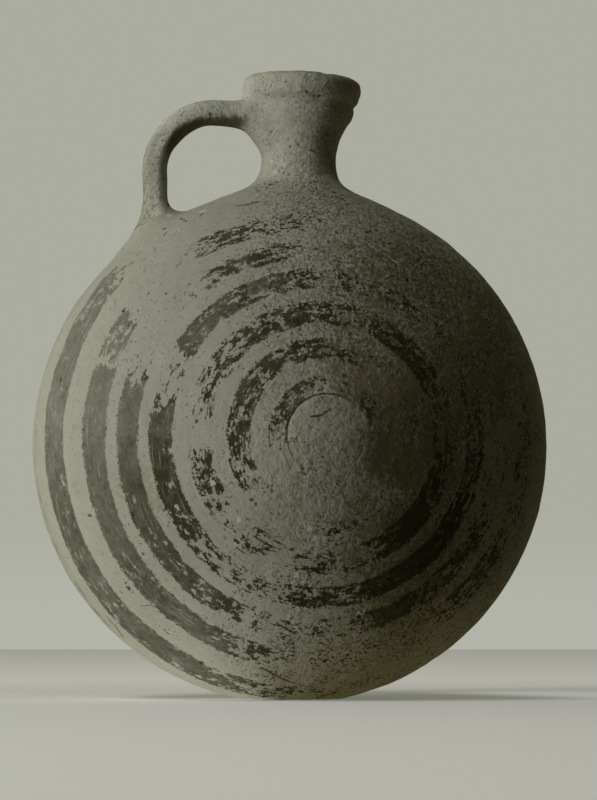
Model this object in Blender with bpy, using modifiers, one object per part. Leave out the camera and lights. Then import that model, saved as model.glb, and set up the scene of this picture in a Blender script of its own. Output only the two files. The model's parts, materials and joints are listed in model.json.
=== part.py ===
"""Painted pottery flask-jug: two wheel-thrown bowls joined rim to rim, a neck and one strap handle.

The closed face of the front bowl looks along -Y, the neck stands up along +Z and the handle is at -X.
The origin is at the middle of the worn flat that the jug rests on. Every length is in metres.
"""

import math

import bmesh
import bpy
from mathutils import Matrix, Vector

MM = 0.001
GAP = 0.3 * MM                      # clearance between two pieces that touch
MERGE = 0.01 * MM                   # points closer than this are one point

# Body: two bowls turned about the Y axis, their rims at the plane Y = 0
BODY_RADIUS = 122.5 * MM
BODY_HALF_DEPTH = 90.0 * MM         # to the tip that a face would have if it weren't rounded off
POLE_ROUND_RADIUS = 10.0 * MM       # how far out from the back pole the rounding reaches
POLE_SHARES = (0.0, 1 / 3, 2 / 3)
BODY_WALL = 6.5 * MM
FACE_POWER = 1.1                    # 1 makes each face a cone, 2 an ellipsoid
EDGE_POWER = 2.6                    # over 2 gives a full, barrel-like edge
REST_FLAT_DEPTH = 2.4 * MM          # how much of the round edge is worn flat underneath
SEAM_LAP = 6.0 * MM                 # how far one bevelled rim laps over the other
RIDGE_HEIGHT = 0.6 * MM             # throwing ridges on the inside
BODY_SEGMENTS = 48
WALL_RINGS = 14                     # an even number, so that no ridge falls on a rim

# Closing disc at the front pole, a tapered plug with a proud, domed face
DISC_RADIUS = 18.8 * MM
DISC_TAPER = 4.5 * MM               # how much smaller it is inside than outside
DISC_RISE = 1.2 * MM                # how far its edge stands proud of the bowl
DISC_EDGE_ROUND = 0.7 * MM
DISC_DOME = 2.2 * MM                # height of its crown over its edge
DISC_SEGMENTS = 36
DISC_RINGS = 5

# Neck, turned about its own axis, with its heights taken from the top of the body
NECK_SHIFT = 3.3 * MM               # towards +X
NECK_LEAN = math.radians(2.2)       # towards +X
NECK_WALL = 5.8 * MM
NECK_FOOT_RADIUS = 19.6 * MM
NECK_FOOT_HEIGHT = 5.0 * MM
NECK_WAIST_RADIUS = 18.1 * MM
NECK_WAIST_HEIGHT = 14.4 * MM
NECK_FLARE_RADIUS = 25.6 * MM
NECK_FLARE_HEIGHT = 38.0 * MM
LIP_RADIUS = 28.5 * MM
LIP_HEIGHT = 47.9 * MM              # where the lip is widest
LIP_BEAD = 5.2 * MM                 # radius of its rolled outer side
LIP_UNDERCUT = math.radians(50.0)   # how far the roll turns in under its widest place
MOUTH_RADIUS = 19.5 * MM
NECK_SEGMENTS = 40
LIP_STEPS = 5
MOUTH_STEPS = 3
SIDE_STEPS = 4                      # between two of the heights above, outside
THROAT_STEPS = 3                    # the same inside

# Roll of clay smoothed round the foot of the neck
COLLAR_HEIGHT = 8.5 * MM
COLLAR_REACH = 18.0 * MM            # how far it runs out over the shoulder
COLLAR_EDGE = 0.7 * MM              # its thickness where it feathers out
COLLAR_POWER = 3.2                  # higher makes its side more hollow

# Strap handle in the plane Y = 0
HANDLE_THICKNESS = 11.3 * MM
HANDLE_WIDTH = 18.0 * MM
HANDLE_TOP_THICKNESS = 12.4 * MM    # the top is thicker and wider than the foot
HANDLE_OFFSET = 65.6 * MM           # from the body's axis to the middle of the upright part
HANDLE_TOP_HEIGHT = 36.2 * MM       # from the top of the body to the middle of the level part
HANDLE_BEND_RADIUS = 26.0 * MM
HANDLE_BED = 1.5 * MM               # how deep each end is pressed into the clay
HANDLE_SIDES = 18
BEND_STEPS = 9

# Wads of clay smoothed round both ends of the handle
WAD_HEIGHT = 11.0 * MM
WAD_EDGE = 0.6 * MM
WAD_POWER = 3.0
WAD_SIDES = 28
LOWER_WAD_REACH = 10.5 * MM
UPPER_WAD_REACH = 7.5 * MM
UPPER_WAD_DROP = 3.5 * MM           # it reaches further down than up, because the lip is just over it

INSIDE_SHARE = 0.8                  # a roll starts this far out in what it goes round, and is cut back to it
ROLL_SHARES = (0.0, 0.15, 0.33, 0.6, 1.0)
CLAY_COLOUR = (0.376, 0.366, 0.287)
CLAY_ROUGHNESS = 0.9
BACK_TONE = 0.97
DISC_TONE = 1.03
HANDLE_TONE = 0.98
ROLL_TONE = 0.95

QUARTER_TURN = math.pi / 2
SEAM_SHIFT = GAP * math.hypot(BODY_WALL, SEAM_LAP) / BODY_WALL


def clear_scene():
    for obj in list(bpy.data.objects):
        bpy.data.objects.remove(obj)


def new_collection(name):
    made = bpy.data.collections.new(name)
    bpy.context.scene.collection.children.link(made)
    return made


def new_empty(name, parent=None):
    made = bpy.data.objects.new(name, None)
    jug.objects.link(made)
    made.parent = parent
    return made


def clay(name, tone):
    """Fired clay, a little lighter or darker from piece to piece."""
    material = bpy.data.materials.new(name)
    material.use_nodes = True
    shader = material.node_tree.nodes["Principled BSDF"]
    shader.inputs["Base Color"].default_value = [channel * tone for channel in CLAY_COLOUR] + [1.0]
    shader.inputs["Roughness"].default_value = CLAY_ROUGHNESS
    shader.inputs["Metallic"].default_value = 0.0
    return material


def as_piece(obj, parent, tone=1.0):
    jug.objects.link(obj)
    obj.parent = parent
    obj.data.materials.append(clay(obj.name + "_clay", tone))
    return obj


def as_cutter(obj, parent):
    cutters.objects.link(obj)
    obj.parent = parent
    obj.hide_render = True
    obj.display_type = "WIRE"
    return obj


def cut(obj, *tools):
    for tool in tools:
        modifier = obj.modifiers.new("cut_by_" + tool.name, "BOOLEAN")
        modifier.operation = "DIFFERENCE"
        modifier.object = tool
        modifier.solver = "EXACT"


def turned(name, profile, segments, closed):
    """A profile of (radius, height) turned about Z; closed joins its last point to its first."""
    points = [(radius, 0.0, height) for radius, height in profile]
    edges = [(i, i + 1) for i in range(len(points) - 1)]
    if closed:
        edges.append((len(points) - 1, 0))
    mesh = bpy.data.meshes.new(name)
    mesh.from_pydata(points, edges, [])
    obj = bpy.data.objects.new(name, mesh)
    screw = obj.modifiers.new("turn", "SCREW")
    screw.axis = "Z"
    screw.angle = math.tau
    screw.steps = screw.render_steps = segments
    screw.use_merge_vertices = True
    screw.merge_threshold = MERGE
    screw.use_smooth_shade = True
    return obj


def faired(points, steps):
    """A smooth line through the points, with this many steps between two of them (Catmull-Rom)."""
    padded = [points[0], *points, points[-1]]
    line = []
    for a, b, c, d in zip(padded, padded[1:], padded[2:], padded[3:]):
        for i in range(steps):
            t = i / steps
            line.append(tuple(
                0.5 * (2 * q + t * (r - p) + t**2 * (2 * p - 5 * q + 4 * r - s) + t**3 * (3 * q - p - 3 * r + s))
                for p, q, r, s in zip(a, b, c, d)
            ))
    return [*line, tuple(points[-1])]


# Shape of the body

def moved_outwards(point, offset):
    """A (radius, depth) point of the body's outer face, moved square to that face."""
    radius, depth = point
    if radius <= MERGE:
        return (0.0, depth + offset)
    across = FACE_POWER / BODY_RADIUS * (radius / BODY_RADIUS) ** (FACE_POWER - 1)
    along = EDGE_POWER / BODY_HALF_DEPTH * (depth / BODY_HALF_DEPTH) ** (EDGE_POWER - 1)
    step = offset / math.hypot(across, along)
    return (radius + across * step, depth + along * step)


def wall_line(start_radius, end_depth, offset=0.0, ridge=0.0):
    """One side of the wall as (radius, depth), from near the pole out to a rim at end_depth."""
    start = math.asin((start_radius / BODY_RADIUS) ** (FACE_POWER / 2))
    end = math.acos((max(0.0, end_depth) / BODY_HALF_DEPTH) ** (EDGE_POWER / 2))
    line = []
    for i in range(WALL_RINGS):
        angle = start + (end - start) * i / WALL_RINGS
        radius = BODY_RADIUS * math.sin(angle) ** (2 / FACE_POWER)
        depth = BODY_HALF_DEPTH * math.cos(angle) ** (2 / EDGE_POWER)
        line.append(moved_outwards((radius, depth), offset - ridge * (i % 2)))
    if end_depth < 0:
        line.append((BODY_RADIUS + offset, 0.0))
    return [*line, (rim_radius(end_depth) + offset, end_depth)]


def rim_radius(depth):
    """Outer radius of the body at this distance from the seam plane."""
    share = min(1.0, abs(depth) / BODY_HALF_DEPTH)
    return BODY_RADIUS * (1 - share**EDGE_POWER) ** (1 / FACE_POWER)


def face_depth(radius):
    """Distance of the outer face from the seam plane at this radius."""
    return BODY_HALF_DEPTH * (1 - (radius / BODY_RADIUS) ** FACE_POWER) ** (1 / EDGE_POWER)


def shoulder_height(x, y):
    """Height of the body's outer face over the body's centre at this place."""
    return math.sqrt(max(0.0, rim_radius(y) ** 2 - x**2))


def make_front_bowl():
    """The painted bowl: its bevelled rim goes inside the other's, and its pole is open for the disc."""
    seat_radius = DISC_RADIUS + GAP
    inner_seat_radius = seat_radius - DISC_TAPER
    outer = wall_line(seat_radius, SEAM_LAP / 2)
    inner = wall_line(inner_seat_radius, -SEAM_LAP / 2, -BODY_WALL, -RIDGE_HEIGHT)
    inner[0] = (inner_seat_radius, disc_back_depth())
    obj = turned("front_bowl", [*outer, *reversed(inner)], BODY_SEGMENTS, closed=True)
    obj.rotation_euler = (QUARTER_TURN, 0, 0)
    return as_piece(obj, body_centre)


def make_back_bowl():
    """The other bowl: whole at its pole, with its rim bevelled to lap over the front bowl's."""
    outer = wall_line(POLE_ROUND_RADIUS, SEAM_SHIFT - SEAM_LAP / 2)
    inner = wall_line(POLE_ROUND_RADIUS, SEAM_SHIFT + SEAM_LAP / 2, -BODY_WALL, -RIDGE_HEIGHT)
    pole = (0.0, crown_depth() - BODY_WALL)
    obj = turned("back_bowl", [*rounded_pole(), *outer, *reversed(inner), pole], BODY_SEGMENTS, closed=False)
    obj.rotation_euler = (-QUARTER_TURN, 0, 0)
    return as_piece(obj, body_centre, BACK_TONE)


def rounded_pole():
    """The outer face from the back pole to where the rounding ends, without its last point."""
    crown = crown_depth()
    rise = crown - face_depth(POLE_ROUND_RADIUS)
    return [(POLE_ROUND_RADIUS * share, crown - rise * share**2) for share in POLE_SHARES]


def make_body_core(name, offset):
    """The whole body as a solid with pointed poles, moved outwards by offset."""
    half = wall_line(0.0, 0.0, offset)
    other_half = [(radius, -depth) for radius, depth in reversed(half[:-1])]
    obj = turned(name, [*half, *other_half], BODY_SEGMENTS, closed=False)
    obj.rotation_euler = (QUARTER_TURN, 0, 0)
    return as_cutter(obj, body_centre)


def make_rest_cutter():
    """Everything under the plane that the jug rests on."""
    mesh = bpy.data.meshes.new("rest_cutter")
    shape = bmesh.new()
    bmesh.ops.create_cube(shape, size=BODY_RADIUS)
    shape.to_mesh(mesh)
    shape.free()
    obj = as_cutter(bpy.data.objects.new("rest_cutter", mesh), body_centre)
    obj.location = (0, 0, REST_FLAT_DEPTH - BODY_RADIUS - BODY_RADIUS / 2)
    return obj


# Closing disc

def crown_depth():
    """Distance of both poles from the seam plane: the disc's crown, and the rounded pole of the back bowl."""
    return face_depth(DISC_RADIUS) + DISC_RISE + DISC_DOME


def disc_back_depth():
    """Depth of the disc's inner side, level with the inside of the bowl round it."""
    return face_depth(DISC_RADIUS) - BODY_WALL


def make_closing_disc():
    """A tapered plug with a proud edge and a domed face."""
    seat = face_depth(DISC_RADIUS)
    edge = seat + DISC_RISE
    face_radius = DISC_RADIUS - DISC_EDGE_ROUND
    face = []
    for i in range(DISC_RINGS + 1):
        share = i / DISC_RINGS
        face.append((face_radius * share, edge + DISC_DOME * (1 - share**2)))
    side = [(DISC_RADIUS, edge - DISC_EDGE_ROUND), (DISC_RADIUS, seat)]
    back = [(DISC_RADIUS - DISC_TAPER, disc_back_depth()), (0.0, disc_back_depth())]
    obj = turned("closing_disc", [*face, *side, *back], DISC_SEGMENTS, closed=False)
    obj.rotation_euler = (QUARTER_TURN, 0, 0)
    return as_piece(obj, body_centre, DISC_TONE)


# Neck

def neck_outline():
    """Outer side of the neck as (radius, height), from the crown of the lip down to the foot."""
    roll = []
    for i in range(LIP_STEPS + 1):
        angle = QUARTER_TURN - (QUARTER_TURN + LIP_UNDERCUT) * i / LIP_STEPS
        roll.append((
            LIP_RADIUS - LIP_BEAD + LIP_BEAD * math.cos(angle),
            LIP_HEIGHT + LIP_BEAD * math.sin(angle),
        ))
    side = faired([
        roll[-1],
        (NECK_FLARE_RADIUS, NECK_FLARE_HEIGHT),
        (NECK_WAIST_RADIUS, NECK_WAIST_HEIGHT),
        (NECK_FOOT_RADIUS, NECK_FOOT_HEIGHT),
    ], SIDE_STEPS)
    return [*roll, *side[1:]]


def neck_foot_end():
    """The foot goes through the wall and ends level with the inside of the body."""
    return math.sqrt((BODY_RADIUS - BODY_WALL) ** 2 - NECK_FOOT_RADIUS**2) - BODY_RADIUS


def neck_bore():
    """Inner side of the neck, from the end of its foot up to just inside the crown of the lip."""
    throat = faired([
        (NECK_FOOT_RADIUS - NECK_WALL, neck_foot_end()),
        (NECK_WAIST_RADIUS - NECK_WALL, NECK_WAIST_HEIGHT),
        (NECK_FLARE_RADIUS - NECK_WALL, NECK_FLARE_HEIGHT),
        (MOUTH_RADIUS, LIP_HEIGHT),
    ], THROAT_STEPS)
    crown_radius = LIP_RADIUS - LIP_BEAD
    mouth = []
    for i in range(1, MOUTH_STEPS):
        angle = QUARTER_TURN * i / MOUTH_STEPS
        mouth.append((
            crown_radius - (crown_radius - MOUTH_RADIUS) * math.cos(angle),
            LIP_HEIGHT + LIP_BEAD * math.sin(angle),
        ))
    return [*throat, *mouth]


def neck_radius(height):
    """Outer radius of the neck at this height."""
    line = neck_outline()
    for (radius, top), (next_radius, bottom) in zip(line, line[1:]):
        if bottom <= height <= top:
            return next_radius + (radius - next_radius) * (height - bottom) / (top - bottom)
    return NECK_FOOT_RADIUS if height < line[-1][1] else line[0][0]


def make_neck():
    profile = [*neck_outline(), (NECK_FOOT_RADIUS, neck_foot_end()), *neck_bore()]
    return as_piece(turned("neck", profile, NECK_SEGMENTS, closed=True), neck_axis)


def make_neck_core(name, offset):
    """The neck as a solid down to the body's centre, with its radius changed by offset."""
    line = [(radius + offset, height) for radius, height in neck_outline()]
    crown = (0.0, line[0][1])
    foot = [(line[-1][0], -BODY_RADIUS), (0.0, -BODY_RADIUS)]
    return as_cutter(turned(name, [crown, *line, *foot], NECK_SEGMENTS, closed=False), neck_axis)


# Rolls and wads of clay

def make_roll(name, parent, centre, inner, reach, height, edge, power, sides, surface, place,
              under_side=GAP, drop=0.0):
    """A hollow-sided fillet of clay round something that stands up from a surface.

    centre and inner are the middle and the half sizes of the hole. surface gives how far out the
    surface lies at a place, and place turns the two places and that distance into a point.
    under_side is the height of the fillet's under side over the surface, and drop is how much
    lower than its hole its outer edge lies.
    """
    mesh = bpy.data.meshes.new(name)
    shape = bmesh.new()
    sections = []
    for i in range(sides):
        angle = math.tau * i / sides
        under, over = [], []
        for share in ROLL_SHARES:
            u = centre[0] + (inner[0] + reach * share) * math.cos(angle)
            v = centre[1] + (inner[1] + reach * share) * math.sin(angle) - drop * share
            level = surface(u, v)
            rise = edge + (height - edge) * (1 - share) ** power
            under.append(shape.verts.new(place(u, v, level + under_side)))
            over.append(shape.verts.new(place(u, v, level + GAP + rise)))
        sections.append([*under, *reversed(over)])
    for one, other in zip(sections, [*sections[1:], sections[0]]):
        for a, b in zip(range(len(one)), [*range(1, len(one)), 0]):
            shape.faces.new((one[a], one[b], other[b], other[a]))
    bmesh.ops.recalc_face_normals(shape, faces=shape.faces)
    shape.to_mesh(mesh)
    shape.free()
    mesh.shade_smooth()
    return as_piece(bpy.data.objects.new(name, mesh), parent, ROLL_TONE)


def make_neck_collar():
    inner = NECK_FOOT_RADIUS * INSIDE_SHARE
    reach = NECK_FOOT_RADIUS + COLLAR_REACH - inner
    return make_roll(
        "neck_collar", body_centre, (NECK_SHIFT, 0.0), (inner, inner), reach,
        COLLAR_HEIGHT, COLLAR_EDGE, COLLAR_POWER, NECK_SEGMENTS,
        surface=shoulder_height,
        place=lambda x, y, z: (x, y, z),
    )


def make_lower_wad():
    inner = (HANDLE_THICKNESS / 2 * INSIDE_SHARE, HANDLE_WIDTH / 2 * INSIDE_SHARE)
    reach = HANDLE_THICKNESS / 2 - inner[0] + LOWER_WAD_REACH
    return make_roll(
        "lower_handle_wad", body_centre, (-HANDLE_OFFSET, 0.0), inner, reach,
        WAD_HEIGHT, WAD_EDGE, WAD_POWER, WAD_SIDES,
        surface=shoulder_height,
        place=lambda x, y, z: (x, y, z),
    )


def make_upper_wad():
    """Round the handle's end on the neck: u is along Y, v is the height and the distance is towards -X."""
    inner = (HANDLE_WIDTH / 2 * INSIDE_SHARE, HANDLE_THICKNESS / 2 * INSIDE_SHARE)
    reach = HANDLE_THICKNESS / 2 - inner[1] + UPPER_WAD_REACH
    root = neck_place().inverted() @ Vector((-NECK_FLARE_RADIUS, 0, BODY_RADIUS + HANDLE_TOP_HEIGHT))
    return make_roll(
        "upper_handle_wad", neck_axis, (0.0, root.z), inner, reach,
        WAD_HEIGHT, WAD_EDGE, WAD_POWER, WAD_SIDES,
        surface=lambda y, z: math.sqrt(max(0.0, neck_radius(z) ** 2 - y**2)),
        place=lambda y, z, distance: (-distance, y, z),
        under_side=-WAD_EDGE,
        drop=UPPER_WAD_DROP,
    )


# Handle

def handle_path():
    """Middle line of the strap as (x, z), from inside the neck round the bend to inside the shoulder."""
    top = BODY_RADIUS + HANDLE_TOP_HEIGHT
    centre_x = HANDLE_BEND_RADIUS - HANDLE_OFFSET
    centre_z = top - HANDLE_BEND_RADIUS
    bend = []
    for i in range(BEND_STEPS + 1):
        angle = QUARTER_TURN * (1 + i / BEND_STEPS)
        bend.append((
            centre_x + HANDLE_BEND_RADIUS * math.cos(angle),
            centre_z + HANDLE_BEND_RADIUS * math.sin(angle),
        ))
    foot = shoulder_height(HANDLE_OFFSET, 0.0) - BODY_WALL
    return [(NECK_SHIFT - NECK_WAIST_RADIUS, top), *bend, (-HANDLE_OFFSET, foot)]


def make_strap(name, growth):
    """The strap's mesh: an oval carried along the path, made bigger all round by growth."""
    oval = bpy.data.curves.new(name + "_section", "CURVE")
    ring = oval.splines.new("POLY")
    ring.points.add(HANDLE_SIDES - 1)
    for i, point in enumerate(ring.points):
        angle = math.tau * i / HANDLE_SIDES
        across = (HANDLE_WIDTH / 2 + growth) * math.cos(angle)
        through = (HANDLE_THICKNESS / 2 + growth) * math.sin(angle)
        point.co = (across, through, 0, 1)
    ring.use_cyclic_u = True
    section = bpy.data.objects.new(name + "_section", oval)
    cutters.objects.link(section)

    path = handle_path()
    top, foot = path[0][1], path[-1][1]
    swell = HANDLE_TOP_THICKNESS / HANDLE_THICKNESS - 1
    curve = bpy.data.curves.new(name + "_line", "CURVE")
    curve.dimensions = "3D"
    curve.bevel_mode = "OBJECT"
    curve.bevel_object = section
    curve.use_fill_caps = True
    spline = curve.splines.new("POLY")
    spline.points.add(len(path) - 1)
    for point, (x, z) in zip(spline.points, path):
        point.co = (x, 0, z, 1)
        point.radius = 1 + swell * (z - foot) / (top - foot)
    line = bpy.data.objects.new(name + "_line", curve)
    cutters.objects.link(line)
    bpy.context.view_layer.update()

    mesh = bpy.data.meshes.new_from_object(line.evaluated_get(bpy.context.evaluated_depsgraph_get()))
    mesh.name = name
    shape = bmesh.new()
    shape.from_mesh(mesh)
    bmesh.ops.remove_doubles(shape, verts=shape.verts, dist=MERGE)
    bmesh.ops.recalc_face_normals(shape, faces=shape.faces)
    shape.to_mesh(mesh)
    shape.free()
    mesh.shade_smooth()
    obj = bpy.data.objects.new(name, mesh)
    bpy.data.objects.remove(line)
    bpy.data.objects.remove(section)
    return obj


def neck_place():
    """Where the neck's axis stands over the body's centre."""
    return Matrix.Translation((NECK_SHIFT, 0, BODY_RADIUS)) @ Matrix.Rotation(NECK_LEAN, 4, "Y")


clear_scene()
jug = new_collection("painted_pottery_jug")
cutters = new_collection("cutters")
body_centre = new_empty("body_centre")
body_centre.location = (0, 0, BODY_RADIUS - REST_FLAT_DEPTH)
neck_axis = new_empty("neck_axis", body_centre)
neck_axis.location = neck_place().to_translation()
neck_axis.rotation_euler = (0, NECK_LEAN, 0)

front_bowl = make_front_bowl()
back_bowl = make_back_bowl()
closing_disc = make_closing_disc()
neck = make_neck()
neck_collar = make_neck_collar()
handle = as_piece(make_strap("handle", 0.0), body_centre, HANDLE_TONE)
upper_wad = make_upper_wad()
lower_wad = make_lower_wad()

neck_seat = make_neck_core("neck_seat", GAP)
handle_socket = as_cutter(make_strap("handle_socket", GAP), body_centre)
cut(handle, make_neck_core("neck_bed", -HANDLE_BED), make_body_core("body_bed", -HANDLE_BED))
cut(
    handle_socket,
    make_neck_core("neck_bed_floor", -HANDLE_BED - GAP),
    make_body_core("body_bed_floor", -HANDLE_BED - GAP),
)
rest_cutter = make_rest_cutter()
cut(front_bowl, neck_seat, handle_socket, rest_cutter)
cut(back_bowl, neck_seat, handle_socket, rest_cutter)
cut(neck, handle_socket)
cut(neck_collar, neck_seat)
cut(upper_wad, neck_seat, handle_socket)
cut(lower_wad, handle_socket)
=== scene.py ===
"""Painted pottery flask-jug: one skin of hand-finished clay, a closing disc, and worn painted rings."""

import json
import math
from types import SimpleNamespace

import bmesh
import bpy
import numpy as np
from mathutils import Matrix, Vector

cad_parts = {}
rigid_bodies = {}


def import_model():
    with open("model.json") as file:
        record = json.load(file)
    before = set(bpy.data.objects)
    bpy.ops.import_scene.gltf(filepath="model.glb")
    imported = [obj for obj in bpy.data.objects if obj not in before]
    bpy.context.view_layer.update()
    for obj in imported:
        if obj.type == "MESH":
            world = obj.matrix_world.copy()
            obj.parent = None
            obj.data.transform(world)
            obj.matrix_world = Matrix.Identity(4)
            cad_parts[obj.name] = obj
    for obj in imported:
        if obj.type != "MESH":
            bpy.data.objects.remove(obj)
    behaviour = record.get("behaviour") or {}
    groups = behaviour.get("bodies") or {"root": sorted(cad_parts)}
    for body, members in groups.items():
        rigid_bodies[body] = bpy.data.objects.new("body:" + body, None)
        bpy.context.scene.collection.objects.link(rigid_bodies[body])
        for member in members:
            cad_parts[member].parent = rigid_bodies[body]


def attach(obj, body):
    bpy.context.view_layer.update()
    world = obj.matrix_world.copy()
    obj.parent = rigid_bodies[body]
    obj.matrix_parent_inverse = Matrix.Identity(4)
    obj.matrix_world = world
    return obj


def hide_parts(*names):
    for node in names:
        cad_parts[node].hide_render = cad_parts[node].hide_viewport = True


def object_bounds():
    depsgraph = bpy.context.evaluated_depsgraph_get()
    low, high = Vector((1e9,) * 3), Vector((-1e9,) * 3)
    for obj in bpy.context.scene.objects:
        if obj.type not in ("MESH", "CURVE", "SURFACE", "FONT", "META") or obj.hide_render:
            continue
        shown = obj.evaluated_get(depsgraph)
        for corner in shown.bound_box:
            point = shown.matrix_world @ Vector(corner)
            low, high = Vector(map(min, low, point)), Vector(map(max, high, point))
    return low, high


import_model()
cad_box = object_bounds()
bpy.ops.object.select_all(action="DESELECT")

# The jug's lengths are in millimetres, and the stage's are in metres
MM = 0.001
TURN = math.tau

# Body: its two faces are turned about the Y axis through its centre
BODY_RADIUS = 122.5
BODY_DEPTH = 90.0
CENTRE_Z = 120.1
FACE_POWER = 1.1                # how the outline in depth leaves the pole
EDGE_POWER = 2.7                # and how it comes round to the edge
FLATTENED = 0.993               # the upper half's height, where the neck pressed on the wet clay
PROFILE_STEPS = 60
BODY_STEPS = 256
WALL = 6.5

# Disc that closes the front pole, and the bed in the body that it lies in
DISC_RADIUS = 18.4
DISC_SEAT = 15.5
DISC_BED = 1.6
DISC_UNDERSIDE = 3.4
DISC_CROWN = 88.3               # the pole's distance from the middle of the body
DISC_STEPS = 220
DISC_RINGS = 60
DISC_EDGE_SLOPE = 0.275         # the body's own slope there
DISC_PROUD_AT = math.radians(125)
BACK_POLE = 10.0                # radius of the rounded cap on the other pole

# Neck, with heights over the body's top: up the outside, over the lip and down the inside
NECK_FOOT = (3.3, 0.0, CENTRE_Z + BODY_RADIUS)
NECK_LEAN = math.radians(2.2)
NECK_STEPS = 128
NECK_PROFILE = [
    (19.9, -8.0), (19.8, 2.0), (19.4, 5.0), (18.7, 8.5), (18.1, 13.0), (18.0, 16.5),
    (18.4, 19.5), (19.2, 23.5), (20.6, 27.0), (22.3, 30.5), (24.0, 33.7), (25.0, 36.8),
    (25.2, 39.6), (25.6, 41.0), (27.5, 42.2), (28.3, 44.4), (28.6, 48.6), (28.2, 51.2),
    (26.8, 52.7), (24.6, 53.1), (22.4, 52.8), (20.6, 51.2), (19.7, 48.5), (19.5, 45.0),
    (19.6, 38.5), (17.4, 31.0), (13.8, 23.0), (12.5, 15.0), (13.2, 7.0), (13.8, -8.0),
]

# Fillet of clay round the neck's foot: distance from the neck's axis and rise over the body
COLLAR_STEPS = 96
COLLAR_UNDERSIDE = -4.0
COLLAR_RISE = [
    (15.5, 10.5), (18.5, 8.6), (19.8, 7.0), (21.2, 5.5), (23.0, 4.1), (25.8, 2.8),
    (29.0, 2.0), (33.0, 1.4), (38.0, 0.85), (43.0, 0.4), (48.0, 0.0),
]

# Strap handle: the middle of its bend in the plane Y = 0, and half its thickness and width
BEND_MIDDLE = (-39.9, 252.2)
BEND_RADIUS = 26.0
BEND_TIGHTENED = 1.5            # how much closer the middle of the bend comes in
BEND_STEPS = 14
STRAP_TOP = 6.1
STRAP_TOP_WIDTH = 9.9
STRAP_FOOT = 5.85
STRAP_FOOT_WIDTH = 9.0
STRAP_TWIST = math.radians(16)
TWIST_EASES = 12                # height over the shoulder at which the twist starts to fade
STRAP_POINTS = 40
STRAP_BLUNT = 0.62              # 1 is an oval section, and less is squarer
FOOT_BLUNT = 0.9
FOOT_SQUARES = 0.28             # how much squarer it gets from its foot up to the bend
SHOULDER_SLOPE = math.radians(32.4)
# Fillet over and under the strap at the neck: place along X, drop, rise and half width
ROOT_ON_NECK = [
    (-8.0, 13.0, 3.0, 12.0), (-13.0, 12.5, 3.0, 12.8), (-16.0, 9.6, 2.4, 12.6),
    (-17.5, 6.6, 1.8, 12.0), (-19.3, 4.0, 1.1, 11.2), (-21.5, 2.1, 0.6, 10.6),
    (-24.0, 1.0, 0.3, 10.2), (-27.0, 0.4, 0.1, 10.0), (-31.0, 0.1, 0.0, 9.9),
    (-36.0, 0.0, 0.0, 9.9),
]
# Fillet at the shoulder: height over it, reach down the body, towards the neck and sideways
ROOT_ON_SHOULDER = [
    (14.0, 0.0, 0.0, 0.0), (11.0, 0.3, 0.0, 0.2), (8.0, 1.4, 0.3, 0.8), (6.0, 3.0, 0.8, 1.6),
    (4.2, 5.6, 1.7, 3.0), (2.8, 9.0, 3.0, 4.8), (1.6, 13.0, 4.6, 7.0), (0.5, 18.0, 7.0, 10.0),
    (-4.0, 19.0, 8.0, 11.0),
]

# Skin over all the thrown pieces
VOXEL = 1.55
SHRINK = 0.25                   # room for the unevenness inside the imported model's box
BOX_MARGIN = 0.02
# Where the handle's joins were worked smooth: the middle and the reach. The collar is a ring.
WORKED_JOINS = [((-65.6, 0, 226), 30), ((-20.0, 0, 268), 26)]
WORKED_JOIN = 1.8               # over 1, so that it is even round its middle
WORKED_COLLAR = SimpleNamespace(x=3.8, radius=24, z=245, reach=12, strength=0.8)
CRISP_LIP_Z = 284
# Knocks and lumps of the lip: the middle, the reach and the depth, which is under 0 for a lump
LIP_KNOCKS = [
    ((29.6, -5.2, 284.4), 5.0, 1.1), ((28.6, -5.1, 277.8), 7.0, -0.7),
    ((26.0, -4.4, 295.8), 4.5, 1.1), ((31.0, -6.0, 289.0), 4.0, -0.6),
    ((0.6, -22.0, 296.6), 3.2, -0.9), ((12.0, -24.0, 295.4), 4.0, 0.5),
    ((20.0, -20.0, 286.0), 3.5, 0.7), ((-4.0, -27.0, 288.0), 3.0, 0.5),
    ((8.0, -25.0, 283.0), 3.5, 0.6),
]

# Where the skin is parted into pieces
SHOULDER_CUT = 244.2
HANDLE_CUT_X = -25.5
HANDLE_FOOT_CUT = 125.5         # from the body's centre, along the line through the handle's foot
FOOT_DIRECTION = (-math.sin(SHOULDER_SLOPE), 0.0, math.cos(SHOULDER_SLOPE))
BORE_END = SimpleNamespace(x=3.4, radius=15.5, z=236)

# Camera, in metres
CAMERA_AZIMUTH = math.radians(-11.2)
CAMERA_DISTANCE = 1.5
CAMERA_HEIGHT = 0.039
CAMERA_RIGHT = Vector((math.cos(CAMERA_AZIMUTH), math.sin(CAMERA_AZIMUTH), 0))
CAMERA_BACK = Vector((math.sin(CAMERA_AZIMUTH), -math.cos(CAMERA_AZIMUTH), 0))
CAMERA_PLACE = CAMERA_BACK * CAMERA_DISTANCE + Vector((0, 0, CAMERA_HEIGHT))


# Tools of the workshop

def active(obj):
    bpy.ops.object.select_all(action="DESELECT")
    obj.select_set(True)
    bpy.context.view_layer.objects.active = obj
    return obj


def apply_all(obj):
    active(obj)
    for modifier in list(obj.modifiers):
        bpy.ops.object.modifier_apply(modifier=modifier.name)


def points_of(obj):
    """The mesh's points in millimetres, one row each."""
    flat = np.empty(len(obj.data.vertices) * 3, np.float32)
    obj.data.vertices.foreach_get("co", flat)
    return flat.reshape(-1, 3).astype(float) / MM


def set_points(obj, points):
    obj.data.vertices.foreach_set("co", (points * MM).astype(np.float32).ravel())
    obj.data.update()


def normals_of(obj):
    flat = np.empty(len(obj.data.vertices) * 3, np.float32)
    obj.data.vertices.foreach_get("normal", flat)
    return flat.reshape(-1, 3).astype(float)


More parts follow.
